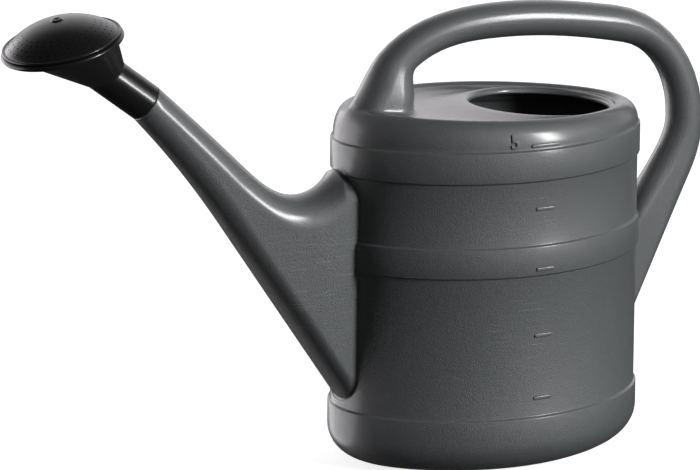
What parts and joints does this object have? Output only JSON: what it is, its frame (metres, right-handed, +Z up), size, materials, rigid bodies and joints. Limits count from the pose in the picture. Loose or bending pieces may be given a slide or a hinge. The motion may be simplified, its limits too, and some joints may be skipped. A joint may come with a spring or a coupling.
{
  "type": "watering can",
  "caption": "Oval blow-moulded garden watering can with an arched handle, a long tapering spout and a push-fit domed rose.",
  "frame": {"origin": "on the surface the can stands on, below the middle of its bounding box", "axes": "+X towards the back of the handle with the spout along -X, +Y across the can, +Z up"},
  "size_m": [0.5021, 0.1594, 0.3141],
  "materials": {
    "can_plastic": "satin, fine moulded grain",
    "rose_plastic": "gloss",
    "seal_rubber": "matte"
  },
  "bodies": {
    "can": {"tank": "can_plastic", "spout": "can_plastic", "handle": "can_plastic"},
    "seal_ring": {"rose_seal": "seal_rubber"},
    "rose": {"rose_housing": "rose_plastic"},
    "plate": {"rose_plate": "rose_plastic"}
  },
  "joints": [
    {"name": "rose_turn", "type": "hinge", "parent": "can", "child": "seal_ring", "pos_m": [-0.1585, 0, 0.2551], "axis": [-0.7944, 0, 0.6074], "continuous": true},
    {"name": "rose_pull_off", "type": "slide", "parent": "seal_ring", "child": "rose", "axis": [-0.7944, 0, 0.6074], "range_m": [0, 0.045]},
    {"name": "plate_pull", "type": "slide", "parent": "rose", "child": "plate", "axis": [-0.2378, -0.0745, 0.9684], "range_m": [0, 0.02]}
  ]
}
